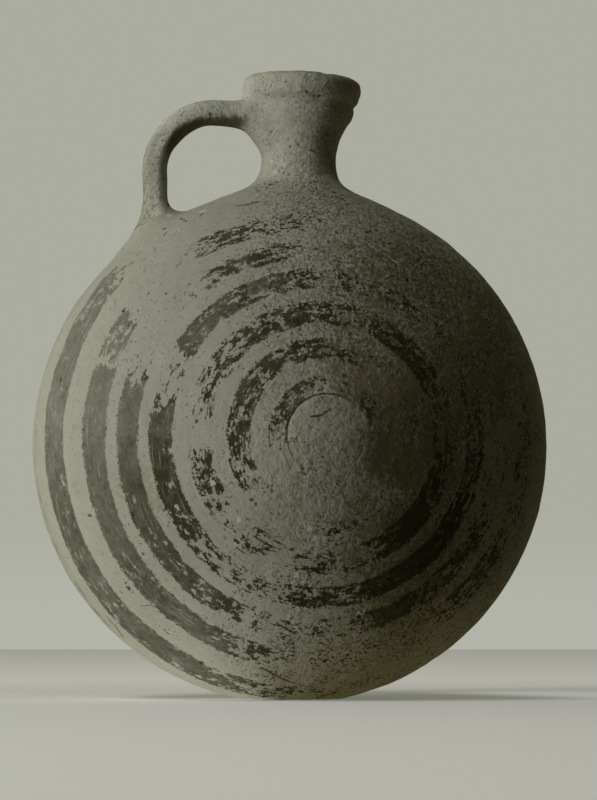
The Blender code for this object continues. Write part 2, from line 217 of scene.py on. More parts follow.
def merge_and_face_out(merge=0.01):
    """In edit mode: merge what coincides and turn every face outwards."""
    bpy.ops.mesh.select_all(action="SELECT")
    bpy.ops.mesh.remove_doubles(threshold=merge * MM)
    bpy.ops.mesh.normals_make_consistent(inside=False)


def drawn_line(name, line):
    """A line of points drawn out from one corner of a plane, left in edit mode and selected."""
    bpy.ops.mesh.primitive_plane_add(size=MM)
    obj = bpy.context.object
    obj.name = name
    bpy.ops.object.mode_set(mode="EDIT")
    bpy.ops.mesh.merge(type="CENTER")
    last = Vector((0, 0, 0))
    for i, point in enumerate(line):
        point = Vector(point) * MM
        if i == 0:
            bpy.ops.transform.translate(value=point - last)
        else:
            bpy.ops.mesh.extrude_vertices_move(TRANSFORM_OT_translate={"value": point - last})
        last = point
    bpy.ops.mesh.select_all(action="SELECT")
    return obj


def thrown(name, profile, centre, axis, steps):
    """A closed form turned about an axis from a profile of (radius, place along the axis)."""
    centre, axis = Vector(centre), Vector(axis)
    out = Vector((1, 0, 0))
    obj = drawn_line(name, [centre + out * radius + axis * along for radius, along in profile])
    bpy.ops.mesh.spin(steps=steps, angle=TURN, center=centre * MM, axis=axis)
    merge_and_face_out()
    bpy.ops.object.mode_set(mode="OBJECT")
    return obj


def place_selected(obj, ring):
    """Put the selected loop's points, in their order round the loop, on the points of a ring."""
    shape = bmesh.from_edit_mesh(obj.data)
    face = next(face for face in shape.faces if face.select)
    for vert, point in zip(face.verts, ring):
        vert.co = Vector(point) * MM
    bmesh.update_edit_mesh(obj.data)


def lofted(name, rings):
    """A closed form drawn out ring by ring from a circle, and closed at both ends."""
    bpy.ops.mesh.primitive_circle_add(vertices=len(rings[0]), radius=MM, fill_type="NGON")
    obj = bpy.context.object
    obj.name = name
    bpy.ops.object.mode_set(mode="EDIT")
    bpy.ops.mesh.select_all(action="SELECT")
    place_selected(obj, rings[0])
    for ring in rings[1:]:
        bpy.ops.mesh.extrude_region()
        place_selected(obj, ring)
    merge_and_face_out()
    bpy.ops.object.mode_set(mode="OBJECT")
    return obj


# Body

def rim_radius(depth):
    share = np.clip(np.abs(depth) / BODY_DEPTH, 0, 1)
    return BODY_RADIUS * (1 - share**EDGE_POWER) ** (1 / FACE_POWER)


def face_depth(radius):
    return BODY_DEPTH * max(0.0, 1 - (radius / BODY_RADIUS) ** FACE_POWER) ** (1 / EDGE_POWER)


def shoulder_z(x, y):
    """Height of the body's outer face at this place."""
    return CENTRE_Z + FLATTENED * math.sqrt(max(0.0, float(rim_radius(y)) ** 2 - x**2))


def profile_point(i):
    """Radius and depth of the outer face, some steps out from the pole."""
    angle = i / PROFILE_STEPS * math.pi / 2
    return (BODY_RADIUS * math.sin(angle) ** (2 / FACE_POWER),
            BODY_DEPTH * math.cos(angle) ** (2 / EDGE_POWER))


def body_profile():
    """The outer face from the front pole to the back one, as (radius, place along Y)."""
    seat = face_depth(DISC_SEAT)
    bed = -(seat - DISC_BED)
    line = [(0.0, bed), (8.0, bed), (14.0, bed), (DISC_SEAT - 0.5, bed), (DISC_SEAT, -(seat - 0.2))]
    face = [profile_point(i) for i in range(1, PROFILE_STEPS)]
    line += [(radius, -depth) for radius, depth in face if radius > DISC_SEAT + 0.6]
    line.append((BODY_RADIUS, 0.0))
    line += [(radius, depth) for radius, depth in reversed(face) if radius > BACK_POLE]
    rise = DISC_CROWN - face_depth(BACK_POLE)
    for radius in (8.0, 6.0, 4.0, 2.0, 0.0):
        line.append((radius, DISC_CROWN - rise * (radius / BACK_POLE) ** 2))
    return line


def make_body():
    obj = thrown("clay_body", body_profile(), (0, 0, CENTRE_Z), (0, 1, 0), BODY_STEPS)
    points = points_of(obj)
    upper = points[:, 2] > CENTRE_Z
    points[upper, 2] = CENTRE_Z + (points[upper, 2] - CENTRE_Z) * FLATTENED
    set_points(obj, points)
    return obj


# Neck and the clay round its foot

def make_neck():
    obj = thrown("clay_neck", NECK_PROFILE + NECK_PROFILE[:1], NECK_FOOT, (0, 0, 1), NECK_STEPS)
    active(obj)
    bpy.ops.object.mode_set(mode="EDIT")
    bpy.ops.mesh.select_all(action="SELECT")
    # With no window, transform.rotate turns the other way
    bpy.ops.transform.rotate(
        value=-NECK_LEAN, orient_axis="Y", center_override=Vector(NECK_FOOT) * MM)
    bpy.ops.object.mode_set(mode="OBJECT")
    return obj


def make_collar():
    """The fillet that was smoothed out from the neck's foot over the shoulder."""
    section = COLLAR_RISE + [(radius, COLLAR_UNDERSIDE) for radius, rise in reversed(COLLAR_RISE)]
    bpy.ops.mesh.primitive_torus_add(
        major_radius=30 * MM, minor_radius=5 * MM,
        major_segments=COLLAR_STEPS, minor_segments=len(section))
    obj = bpy.context.object
    obj.name = "clay_collar"
    for i, vert in enumerate(obj.data.vertices):
        angle = TURN * (i // len(section)) / COLLAR_STEPS
        radius, rise = section[i % len(section)]
        x, y = NECK_FOOT[0] + radius * math.cos(angle), radius * math.sin(angle)
        vert.co = Vector((x, y, shoulder_z(x, y) + rise)) * MM
    active(obj)
    bpy.ops.object.mode_set(mode="EDIT")
    merge_and_face_out()
    bpy.ops.object.mode_set(mode="OBJECT")
    return obj


# Handle

def strap_ring(half, wide, place, twist=0.0, blunt=STRAP_BLUNT):
    """Points round one section, which has blunt corners. place turns two offsets into a point."""
    ring = []
    for i in range(STRAP_POINTS):
        angle = TURN * i / STRAP_POINTS
        c, s = math.cos(angle), math.sin(angle)
        u = half * math.copysign(abs(c) ** blunt, c)
        v = wide * math.copysign(abs(s) ** blunt, s)
        ring.append(place(u * math.cos(twist) - v * math.sin(twist),
                          u * math.sin(twist) + v * math.cos(twist)))
    return ring


def neck_rings():
    top = BEND_MIDDLE[1] + BEND_RADIUS
    rings = []
    for x, drop, rise, wide in ROOT_ON_NECK:
        middle = top - (drop - rise) / 2
        half = STRAP_TOP + (drop + rise) / 2
        rings.append(strap_ring(half, wide, lambda u, v: (x, v, middle + u)))
    return rings


def bend_rings():
    rings = []
    for i in range(BEND_STEPS + 1):
        share = i / BEND_STEPS
        angle = math.pi / 2 * (1 + share)
        out_x, out_z = math.cos(angle), math.sin(angle)
        reach = BEND_RADIUS - BEND_TIGHTENED * math.sin(math.pi * share)

        def place(u, v):
            return (BEND_MIDDLE[0] + (reach + u) * out_x, v, BEND_MIDDLE[1] + (reach + u) * out_z)

        half = STRAP_TOP + (STRAP_FOOT - STRAP_TOP) * share
        wide = STRAP_TOP_WIDTH + (STRAP_FOOT_WIDTH - STRAP_TOP_WIDTH) * share
        rings.append(strap_ring(half, wide, place, STRAP_TWIST * min(1.0, share * 2)))
    return rings


def shoulder_rings():
    foot_x = BEND_MIDDLE[0] - BEND_RADIUS
    foot_z = shoulder_z(foot_x, 0)
    lean_c, lean_s = math.cos(SHOULDER_SLOPE), math.sin(SHOULDER_SLOPE)
    rings = []
    for over, down, inward, side in ROOT_ON_SHOULDER:
        middle = -math.tan(SHOULDER_SLOPE) * over + (down - inward) / 2

        def place(u, v):
            """A point at its height over the curved shoulder."""
            u += middle
            sag = BODY_RADIUS - math.sqrt(float(rim_radius(v)) ** 2 - u**2)
            t = over - sag
            return (foot_x - lean_c * u - lean_s * t, v, foot_z - lean_s * u + lean_c * t)

        fade = min(1.0, max(0.0, over / TWIST_EASES))
        rings.append(strap_ring(STRAP_FOOT / lean_c + (down + inward) / 2, STRAP_FOOT_WIDTH + side,
                                place, STRAP_TWIST * fade, FOOT_BLUNT - FOOT_SQUARES * fade))
    return rings


def make_handle():
    """The strap, from inside the neck round its bend to inside the shoulder."""
    return lofted("clay_handle", neck_rings() + bend_rings() + shoulder_rings())


# Skin of clay over all of them

def near(points, middle, radius):
    """1 in the middle, and 0 from the radius outwards."""
    return np.clip(1 - np.linalg.norm(points - np.array(middle), axis=1) / radius, 0, 1)


def smooth_places(obj, weights, iterations, name):
    """Smooth the mesh by a weight for each point, in tenths."""
    group = obj.vertex_groups.new(name=name)
    for level in range(1, 11):
        chosen = np.nonzero(np.round(weights * 10).astype(int) == level)[0]
        if len(chosen):
            group.add(chosen.tolist(), level / 10, "REPLACE")
    modifier = obj.modifiers.new(name, "SMOOTH")
    modifier.factor = 0.5
    modifier.iterations = iterations
    modifier.vertex_group = name
    apply_all(obj)
    obj.vertex_groups.clear()


def uneven(obj, name, size, strength, depth):
    """Unevenness of the given size and strength."""
    clouds = bpy.data.textures.new(name, "CLOUDS")
    clouds.noise_scale = size * MM
    clouds.noise_depth = depth
    modifier = obj.modifiers.new(name, "DISPLACE")
    modifier.texture = clouds
    modifier.texture_coords = "LOCAL"
    modifier.strength = strength * MM
    modifier.mid_level = 0.5


def hand_made(obj):
    """Slumps of the wet clay, marks of the hands, and a rough face."""
    uneven(obj, "slumps", size=60, strength=0.9, depth=1)
    uneven(obj, "hand_marks", size=14, strength=0.6, depth=2)
    uneven(obj, "rough", size=4, strength=0.24, depth=2)
    apply_all(obj)


def press(points, normals, middle, reach, depth):
    """Push the surface in round a place, by at most depth."""
    ease = near(points, middle, reach)
    ease = ease * ease * (3 - 2 * ease)
    points -= normals * (ease * depth)[:, None]


def make_skin():
    """The thrown pieces as one skin, worked smooth at its joins and uneven as a hand leaves it."""
    pieces = [make_body(), make_neck(), make_collar(), make_handle()]
    bpy.ops.object.select_all(action="DESELECT")
    for piece in pieces:
        piece.select_set(True)
    bpy.context.view_layer.objects.active = pieces[0]
    bpy.ops.object.join()
    skin = bpy.context.object
    skin.name = "jug_skin"
    remesh = skin.modifiers.new("clay", "REMESH")
    remesh.mode = "VOXEL"
    remesh.voxel_size = VOXEL * MM
    remesh.adaptivity = 0
    apply_all(skin)

    points = points_of(skin)
    from_collar = np.abs(np.hypot(points[:, 0] - WORKED_COLLAR.x, points[:, 1]) - WORKED_COLLAR.radius)
    worked = [near(points, middle, reach) * WORKED_JOIN for middle, reach in WORKED_JOINS]
    worked.append(WORKED_COLLAR.strength * np.clip(1 - from_collar / WORKED_COLLAR.reach, 0, 1)
                  * np.clip(1 - np.abs(points[:, 2] - WORKED_COLLAR.z) / WORKED_COLLAR.reach, 0, 1))
    smooth_places(skin, np.maximum.reduce(worked).clip(0, 1), 40, "worked joins")
    smooth_places(skin, np.clip((CRISP_LIP_Z - points[:, 2]) / 8, 0.2, 1), 4, "wiped")
    hand_made(skin)
    points, normals = points_of(skin), normals_of(skin)
    for middle, reach, depth in LIP_KNOCKS:
        press(points, normals, middle, reach, depth)
    set_points(skin, points)
    return skin


def fit_box(obj):
    """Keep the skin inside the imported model's box and stand it on its worn flat."""
    points = points_of(obj) - normals_of(obj) * SHRINK
    low, high = np.array(cad_box[0]) / MM, np.array(cad_box[1]) / MM
    points = np.clip(points, low + BOX_MARGIN, high - BOX_MARGIN)
    points[:, 2] = np.maximum(points[:, 2], 0.0)
    set_points(obj, points)


def select_faces(obj, chosen):
    """In edit mode: select the faces whose middles chosen picks."""
    shape = bmesh.from_edit_mesh(obj.data)
    for face in shape.faces:
        face.select_set(False)
    for face in shape.faces:
        if chosen(face.calc_center_median() / MM):
            face.select_set(True)
    bmesh.update_edit_mesh(obj.data)


def cut_where(obj, chosen, place, normal):
    """Cut the faces that chosen picks along a plane, without taking anything away."""
    active(obj)
    bpy.ops.object.mode_set(mode="EDIT")
    select_faces(obj, chosen)
    bpy.ops.mesh.bisect(plane_co=Vector(place) * MM, plane_no=normal)
    bpy.ops.object.mode_set(mode="OBJECT")


def parted(obj, name, chosen):
    """Part the faces that chosen picks from the object, and return them as a new one."""
    active(obj)
    bpy.ops.object.mode_set(mode="EDIT")
    select_faces(obj, chosen)
    before = set(bpy.data.objects)
    bpy.ops.mesh.separate(type="SELECTED")
    bpy.ops.object.mode_set(mode="OBJECT")
    part = next(iter(set(bpy.data.objects) - before))
    part.name = part.data.name = name
    return part


def close_ends(obj, foot=None):
    """Close the cut ends. Two loops at the height foot are joined, and the others are filled."""
    active(obj)
    bpy.ops.object.mode_set(mode="EDIT")
    bpy.ops.mesh.select_mode(type="EDGE")
    shape = bmesh.from_edit_mesh(obj.data)
    for at_foot in (True, False):
        bpy.ops.mesh.select_all(action="DESELECT")
        for edge in shape.edges:
            low = foot is not None and all(abs(vert.co.z / MM - foot) < 0.01 for vert in edge.verts)
            edge.select_set(edge.is_boundary and low == at_foot)
        bmesh.update_edit_mesh(obj.data)
        if not at_foot:
            bpy.ops.mesh.fill_holes(sides=0)
        elif foot is not None:
            bpy.ops.mesh.bridge_edge_loops()
        shape = bmesh.from_edit_mesh(obj.data)
    bpy.ops.mesh.select_mode(type="VERT")
    bpy.ops.object.mode_set(mode="OBJECT")


def give_wall(obj):
    modifier = obj.modifiers.new("wall", "SOLIDIFY")
    modifier.thickness = WALL * MM
    modifier.offset = -1
    apply_all(obj)


def over_shoulder(p):
    """How far a point is from the body's centre along the line through the handle's foot."""
    return p[0] * FOOT_DIRECTION[0] + (p[2] - CENTRE_Z) * FOOT_DIRECTION[2]


def make_disc():
    """The disc that closes the front face: proud at the upper left, smoothed in at the lower right."""
    seat = face_depth(DISC_RADIUS)
    under = -(seat - DISC_UNDERSIDE)
    profile = [(DISC_RADIUS * i / DISC_RINGS, -DISC_CROWN) for i in range(DISC_RINGS + 1)]
    profile += [(DISC_RADIUS, -(seat - DISC_BED)), (DISC_RADIUS - 3, under), (0.0, under)]
    obj = thrown("closing_disc_face", profile, (0, 0, CENTRE_Z), (0, 1, 0), DISC_STEPS)
    points = points_of(obj)
    front = points[:, 1] < -(DISC_CROWN - 0.01)
    x, z = points[front, 0], points[front, 2] - CENTRE_Z
    share = np.hypot(x, z) / DISC_RADIUS
    lift = np.clip(0.38 * np.cos(np.arctan2(z, x) - DISC_PROUD_AT) - 0.08, -0.12, 0.28)
    fall = DISC_CROWN - seat - lift
    drop = fall * share ** (DISC_EDGE_SLOPE * DISC_RADIUS / fall)
    rounded_edge = np.clip(lift, 0, 1) * np.clip((share - 0.94) / 0.06, 0, 1) ** 2
    points[front, 1] = -(DISC_CROWN - drop - rounded_edge)
    set_points(obj, points)
    hand_made(obj)
    points = points_of(obj)
    points[:, 1] += SHRINK
    set_points(obj, points)
    return obj


skin = make_skin()
fit_box(skin)
# Each cut takes only the faces near it
foot_place = (FOOT_DIRECTION[0] * HANDLE_FOOT_CUT, 0, CENTRE_Z + FOOT_DIRECTION[2] * HANDLE_FOOT_CUT)
cut_where(skin, lambda p: p[2] > 238, (0, 0, SHOULDER_CUT), (0, 0, 1))
cut_where(skin, lambda p: p[2] > 255 and p[0] < -15, (HANDLE_CUT_X, 0, 0), (1, 0, 0))
cut_where(skin, lambda p: p[0] < -45 and over_shoulder(p) > 118, foot_place, FOOT_DIRECTION)
cut_where(skin, lambda p: abs(p[1]) < 3, (0, 0, 0), (0, 1, 0))
handle = parted(skin, "strap_handle",
                lambda p: p[0] < HANDLE_CUT_X and over_shoulder(p) > HANDLE_FOOT_CUT)
neck = parted(skin, "neck_and_lip", lambda p: p[2] > SHOULDER_CUT)
# The bore's end stands free inside the body
bore = parted(skin, "bore_end", lambda p: (
    p[2] > BORE_END.z and math.hypot(p[0] - BORE_END.x, p[1]) < BORE_END.radius))
bpy.data.objects.remove(bore)
back = parted(skin, "back_of_body", lambda p: p[1] > 0)
front = skin
front.name = front.data.name = "front_of_body"
close_ends(handle)
for half in (front, back):
    give_wall(half)
close_ends(neck, SHOULDER_CUT)
disc = make_disc()

pieces = {
    front: ("front_bowl", "neck_collar", "lower_handle_wad"),
    back: ("back_bowl",),
    neck: ("neck", "upper_handle_wad"),
    handle: ("handle",),
    disc: ("closing_disc",),
}


# Shader sums

class Shade:
    """A socket of the material that is being made, so that shader sums read as plain sums."""

    tree = None

    def __init__(self, socket):
        self.socket = socket

    @classmethod
    def node(cls, kind, settings=None, inputs=None, output=0):
        """Any node: its settings come first, and then the values or links of its sockets."""
        made = cls.tree.nodes.new(kind)
        for name, value in (settings or {}).items():
            if name == "stops":
                ramp = made.color_ramp
                ramp.interpolation = "LINEAR"
                while len(ramp.elements) > 1:
                    ramp.elements.remove(ramp.elements[0])
                for i, (place, level) in enumerate(value):
                    stop = ramp.elements[0] if i == 0 else ramp.elements.new(place)
                    stop.position = place
                    stop.color = (level, level, level, level)
            else:
                setattr(made, name, value)
        for name, value in (inputs or {}).items():
            if isinstance(value, Shade):
                cls.tree.links.new(value.socket, made.inputs[name])
            else:
                made.inputs[name].default_value = value
        return cls(made.outputs[output])

    @classmethod
    def math(cls, operation, *values):
        return cls.node("ShaderNodeMath", {"operation": operation}, dict(enumerate(values)))

    @classmethod
    def vector(cls, operation, one, other):
        """A vector from two vectors, or a number where the operation gives one."""
        output = 1 if operation in ("DISTANCE", "DOT_PRODUCT") else 0
        return cls.node("ShaderNodeVectorMath", {"operation": operation}, {0: one, 1: other}, output)

    def all_outputs(self):
        return [Shade(socket) for socket in self.socket.node.outputs]

    def into(self, shader, name):
        self.tree.links.new(self.socket, shader.inputs[name])

    def __add__(self, other):
        return self.math("ADD", self, other)

    __radd__ = __add__

    def __sub__(self, other):
        return self.math("SUBTRACT", self, other)

    def __rsub__(self, other):
        return self.math("SUBTRACT", other, self)

    def __mul__(self, other):
        return self.math("MULTIPLY", self, other)

    __rmul__ = __mul__

    def __truediv__(self, other):
        return self.math("DIVIDE", self, other)

    def __rtruediv__(self, other):
        return self.math("DIVIDE", other, self)

    def __pow__(self, other):
        return self.math("POWER", self, other)

    def least(self, other):
        return self.math("MINIMUM", self, other)

    def most(self, other):
        return self.math("MAXIMUM", self, other)

    def size(self):
        return self.math("ABSOLUTE", self)


GENERATED, OBJECT = 0, 3        # outputs of a Texture Coordinate node


def step(value, low, high):
    """0 below low and 1 above high, with a smooth way between. low may be over high."""
    return Shade.node("ShaderNodeMapRange", {"interpolation_type": "SMOOTHSTEP"}, {
        "Value": value, "From Min": low, "From Max": high, "To Min": 0.0, "To Max": 1.0})


def noise(vector, scale, detail=3.0, roughness=0.55):
    return Shade.node("ShaderNodeTexNoise", None, {
        "Vector": vector, "Scale": scale, "Detail": detail, "Roughness": roughness})


def joined(x, y, z):
    return Shade.node("ShaderNodeCombineXYZ", None, {"X": x, "Y": y, "Z": z})


def colour_between(share, one, other):
    return Shade.node("ShaderNodeMix", {"data_type": "RGBA", "clamp_factor": True},
                      {0: share, 6: one, 7: other}, output=2)


def new_material(name, roughness, specular):
    material = bpy.data.materials.new(name)
    material.use_nodes = True
    Shade.tree = material.node_tree
    shader = material.node_tree.nodes["Principled BSDF"]
    shader.inputs["Roughness"].default_value = roughness
    shader.inputs["Specular IOR Level"].default_value = specular
    return material, shader


# Clay and paint

CLAY = (0.362, 0.360, 0.296, 1)
# Pale clay, which also gives the painted light at the lower left of the face
CLAY_PALE_AND_LIGHT = (0.44, 0.438, 0.37, 1)
# Dark clay, which also gives the painted shade on the right of the face and on the handle
CLAY_DARK_AND_SHADE = (0.180, 0.166, 0.094, 1)
PAINT = (0.048, 0.044, 0.023, 1)
# Lime, which also gives painted light on the handle's top and on the inner side of its upright
LIME_AND_LIGHT = (0.55, 0.55, 0.48, 1)
# Dark of pit marks and specks, which also gives the painted shadow in the groove round the disc and the
# painted shade inside the handle's bend
PIT_AND_SHADE = (0.033, 0.027, 0.009, 1)

# Painted rings of the front face: inner and outer radius, how dense the paint is, and how much of it
# is left by angle in degrees (0 is right, 90 up, 180 left, -90 down)
RING_EDGE = 0.006               # softness, as an angle
GROOVE_SHADOW_AT = math.radians(128)   # where the painted shadow in the groove round the disc is darkest
FRONT_RINGS = [
    (18.6, 27.0, 0.92, [
        (-180, .44), (-170, .36), (-160, .18), (-60, .10), (10, .12), (20, .40), (45, .45),
        (55, .25), (80, .20), (92, .25), (108, .58), (118, .54), (130, .62), (160, .62), (172, .48),
        (180, .44)]),
    (34.7, 45.1, 0.95, [
        (-180, .56), (-168, .50), (-160, .44), (-152, .56), (-145, .40), (-135, .16), (-110, .08),
        (-96, .30), (-88, .42), (-80, .36), (-68, .20), (-40, .12), (0, .12), (40, .15), (60, .20),
        (75, .40), (88, .55), (112, .58), (117, .45), (122, .62), (145, .64), (160, .68),
        (172, .58), (180, .56)]),
    (51.1, 62.2, 0.94, [
        (-180, .15), (-174, .28), (-170, .52), (-158, .60), (-148, .48), (-143, .26), (-134, .22),
        (-128, .48), (-118, .48), (-110, .26), (-100, .35), (-90, .50), (-80, .35), (-68, .40),
        (-58, .70), (-48, .95), (-38, .92), (-30, .60), (0, .40), (25, .40), (32, .70), (58, .62),
        (66, .40), (78, .50), (88, .62), (105, .62), (122, .60), (132, .50), (150, .48), (165, .42),
        (172, .20), (180, .15)]),
    (68.2, 78.0, 0.79, [
        (-180, .86), (-160, .82), (-148, .64), (-138, .52), (-125, .42), (-118, .32), (-108, .36),
        (-98, .55), (-88, .60), (-78, .55), (-70, .90), (-40, .92), (-30, .70), (-18, .45),
        (-8, .62), (8, .60), (18, .30), (45, .20), (55, .45), (64, .35), (80, .36), (90, .32),
        (97, .56), (112, .64), (120, .70), (147, .73), (151, .30), (163, .22), (168, .60),
        (174, .82), (180, .86)]),
    (82.8, 91.9, 0.64, [
        (-180, 1.0), (-158, .92), (-150, .80), (-140, .70), (-125, .60), (-118, .52), (-108, .32),
        (-96, .22), (-88, .42), (-83, .25), (-76, .45), (-70, .85), (-60, .80), (-50, .50),
        (-35, .62), (-25, .35), (0, .25), (50, .15), (88, .20), (98, .32), (104, .50), (113, .60),
        (120, .52), (127, .25), (137, .22), (144, .08), (155, .12), (160, .40), (164, .72),
        (168, .92), (175, 1.0), (180, 1.0)]),
    (96.7, 105.9, 0.56, [
        (-180, 1.0), (-158, .96), (-148, .84), (-130, .76), (-116, .70), (-106, .46), (-96, .32),
        (-85, .25), (-60, .20), (-45, .50), (-38, .62), (-28, .45), (-10, .35), (8, .35), (20, .12),
        (85, .12), (96, .35), (104, .42), (113, .58), (117, .50), (122, .30), (130, .12),
        (144, .12), (149, .62), (158, .66), (160, .30), (162, .86), (168, 1.0), (180, 1.0)]),
    (113.4, 120.4, 0.57, [
        (-180, .90), (-158, .84), (-140, .80), (-125, .78), (-112, .70), (-100, .50), (-90, .36),
        (-75, .20), (-60, .10), (0, .10), (90, .06), (132, .06), (139, .50), (146, .72), (156, .85),
        (168, .92), (180, .90)]),
]

# Places on the right of the face darkened as painted shade: x, z, outer and inner distance, raggedness
# and strength
PAINTED_SHADE_PLACES = [(48, 50, 66, 32, 40, 1.0), (38, -54, 48, 16, 30, 0.7), (43, -6, 38, 14, 24, 0.8)]

# Small marks of age. Their places are across and up from the middle of a card that stands in the
# middle of the body and faces the camera. Then comes the radius, or the other end and half the width
BODY_PITS = [
    (25.5, 33, 0.9), (-18.5, -26, 0.8), (-16.5, -28, 0.5), (-45, 11.5, 0.5), (-52, 26.5, 0.45),
    (-44, 42, 0.45), (5, -9.5, 0.6), (22, -18.5, 0.55), (-5, -2, 0.5), (-10, 0, 0.45),
    (-70, -52, 0.75), (-42.5, -103, 0.9), (-37.5, -102.5, 0.5), (-18, -86.5, 0.6),
    (-16.5, -88, 0.6), (-77, -68, 1.0), (-78.5, -65.5, 0.5), (-60.5, 103.5, 1.0), (-48.5, 77, 0.55),
    (-68, 72.5, 0.5), (-59.5, 72.5, 0.6), (-80, 64, 0.6), (-109.5, 31, 0.7), (-75, -33, 1.0),
    (-95.5, -33.5, 0.6), (30.5, -37, 1.2), (-44, 96, 0.6), (18.5, 48.5, 0.5), (15, -5.5, 0.45),
    (20.5, 121, 1.0),
]
BODY_CHIPS = [
    (27, 31.5, 0.6), (-37.5, -18, 1.4), (-25, -35.5, 1.1), (9, -40, 1.3), (12, -44, 1.0),
    (-26.5, -47.5, 0.9), (2.5, -62, 1.4), (6.5, -65, 1.3), (-1.5, -81.5, 1.6), (0.5, -84, 1.1),
    (31, -106, 1.0), (39, -103.5, 1.3), (24.5, -110, 1.6), (32, -79.5, 0.6), (-54, -29.5, 1.0),
    (-42, 112, 1.5), (-58.5, 110, 1.3), (17.5, 124.5, 0.9), (21.5, 122, 0.8), (23.5, 3, 0.8),
]
BODY_CRACKS = [
    (-6.5, -84.5, -2.5, -87, 0.35), (-2.5, -87, 2, -89.5, 0.45), (-14, -105.5, -7.5, -109, 0.4),
    (-7.5, -109, -1, -112, 0.4), (-1, -112, 10.5, -115, 0.25), (-87.5, -81, -83, -86, 0.4),
    (-83, -86, -79.5, -91, 0.55), (-26, -48.5, -22, -51.5, 0.4), (-71, -76.5, -66.5, -76, 0.2),
    (-66.5, -76, -62.5, -77.5, 0.2), (-60, -87.5, -58, -89.5, 0.3),
    (-26.5, 114.5, -21.5, 115, 0.45), (-21.5, 115, -15.5, 116.5, 0.5), (-53, 108.5, -50, 107, 0.4),
    (-61, 100, -59.5, 102, 0.35), (-43.5, 109.5, -42, 111, 0.35), (-102, -65.5, -96.5, -73.5, 0.8),
    (9.5, 13.5, 14, 14, 0.5), (14, 14, 18.5, 17, 0.45),
]
BODY_SCRATCHES = [
    (-78, -52.5, -73, -59.5, 0.3), (-57.5, -54, -52, -60, 0.3), (33, -12, 44.5, -21.5, 0.2),
    (30, -14.5, 36.5, -22, 0.18),
]
NECK_PITS = [
    (-2.5, 174.5, 0.55), (7.5, 169.5, 0.65), (11, 168, 0.6), (13, 167.5, 0.7), (-0.5, 143, 0.5),
    (3.5, 144, 0.45), (-39, 159, 0.6), (-38, 158.5, 0.5), (-61.5, 146, 0.5), (-58.5, 115, 1.2),
]
NECK_CHIPS = [
    (-12, 163, 0.7), (-9.5, 136, 0.9), (-3.5, 134, 0.9), (-8, 130.5, 1.2), (-6.5, 143.5, 0.8),
    (10, 128.5, 1.1), (7.5, 128.5, 1.0), (24.5, 153.5, 0.9), (23.5, 150.5, 0.6), (-2.5, 152, 0.5),
    (-14, 156, 0.6), (-66, 110.5, 1.2),
]
NECK_CRACKS = [
    (9, 141.5, 11, 141, 0.35),
]


def meridian(radius):
    """Angle of a ring between the edge and the pole, which stays even where the face turns over."""
    return math.atan2(face_depth(radius) / BODY_DEPTH, radius / BODY_RADIUS)


def on_jug(across, up):
    """The place on the jug, from the body's centre, that the camera sees behind a place on the card."""
    card = (CAMERA_RIGHT * across + Vector((0, 0, CENTRE_Z + up))) * MM
    way = (card - CAMERA_PLACE).normalized()
    casts = [piece.ray_cast(CAMERA_PLACE, way) for piece in pieces]
    seen = [place for hit, place, normal, face in casts if hit]
    nearest = min(seen, key=lambda place: (place - CAMERA_PLACE).length)
    return nearest / MM - Vector((0, 0, CENTRE_Z))


def spots(place, wobble, marks):
    """1 inside each round mark, with a ragged edge."""
    soft = 0.25
    total = 0.0
    for across, up, size in marks:
        apart = Shade.vector("DISTANCE", place, tuple(on_jug(across, up))) + wobble
        total = step(apart, size + soft, size - soft).most(total)
    return total


def lines(place, wobble, marks):
    """1 along each straight mark."""
    soft = 0.22
    total = 0.0
    for across, up, far_across, far_up, half_width in marks:
        start, end = on_jug(across, up), on_jug(far_across, far_up)
        way = (end - start).normalized()
        offset = Shade.vector("SUBTRACT", place, tuple(start))
        along = Shade.vector("DOT_PRODUCT", offset, tuple(way)).most(0.0).least((end - start).length)
        foot = Shade.node("ShaderNodeVectorMath", {"operation": "SCALE"}, {
            0: tuple(way), "Scale": along})
        apart = Shade.vector("DISTANCE", offset, foot) + wobble
        total = step(apart, half_width + soft, half_width - soft).most(total)
    return total


def clay_places():
    """What a clay is drawn from: the place from the body's centre, and noises from broad to fine."""
    place = Shade.node("ShaderNodeTexCoord", output=OBJECT)
    centred = Shade.node("ShaderNodeMapping", None, {
        "Vector": place, "Location": (0, 0, -CENTRE_Z), "Scale": (1 / MM, 1 / MM, 1 / MM)})
    x, y, z = Shade.node("ShaderNodeSeparateXYZ", None, {"Vector": centred}).all_outputs()
    return SimpleNamespace(
        centred=centred, x=x, y=y, z=z,
        radius=(x * x + z * z) ** 0.5,
        soft=noise(centred, 0.022, 2.0),
        patch=noise(centred, 0.08, 3.0, 0.6),
        mottle=noise(centred, 0.30, 3.0, 0.6),
        grain=noise(centred, 0.55, 4.0, 0.8),
        flecks=noise(centred, 0.75, 4.0, 0.75))


def zone(at, x, z, outer, inner, ragged):
    """1 within the inner distance of a place on the face, and 0 beyond the outer one."""
    apart = Shade.vector("DISTANCE", at.flat, (x, 0, z)) + (at.patch - 0.5) * ragged
    return step(apart, outer, inner)


def body_roughness(at):
    """The body's middle and right are rougher than its smooth left. Relief is for the bump alone."""
    at.flat = joined(at.x, 0.0, at.z)
    at.rough = (step(at.x + (at.patch - 0.5) * 60, -56, 4)
                * (step(at.patch, 0.36, 0.62) * 0.45 + 0.6))
    at.top = zone(at, x=22, z=86, outer=66, inner=34, ragged=50)
    at.rough = at.rough.most(at.top * 1.35)
    at.middle = step(at.radius, 56, 26)
    at.relief = at.rough + at.middle * 0.7


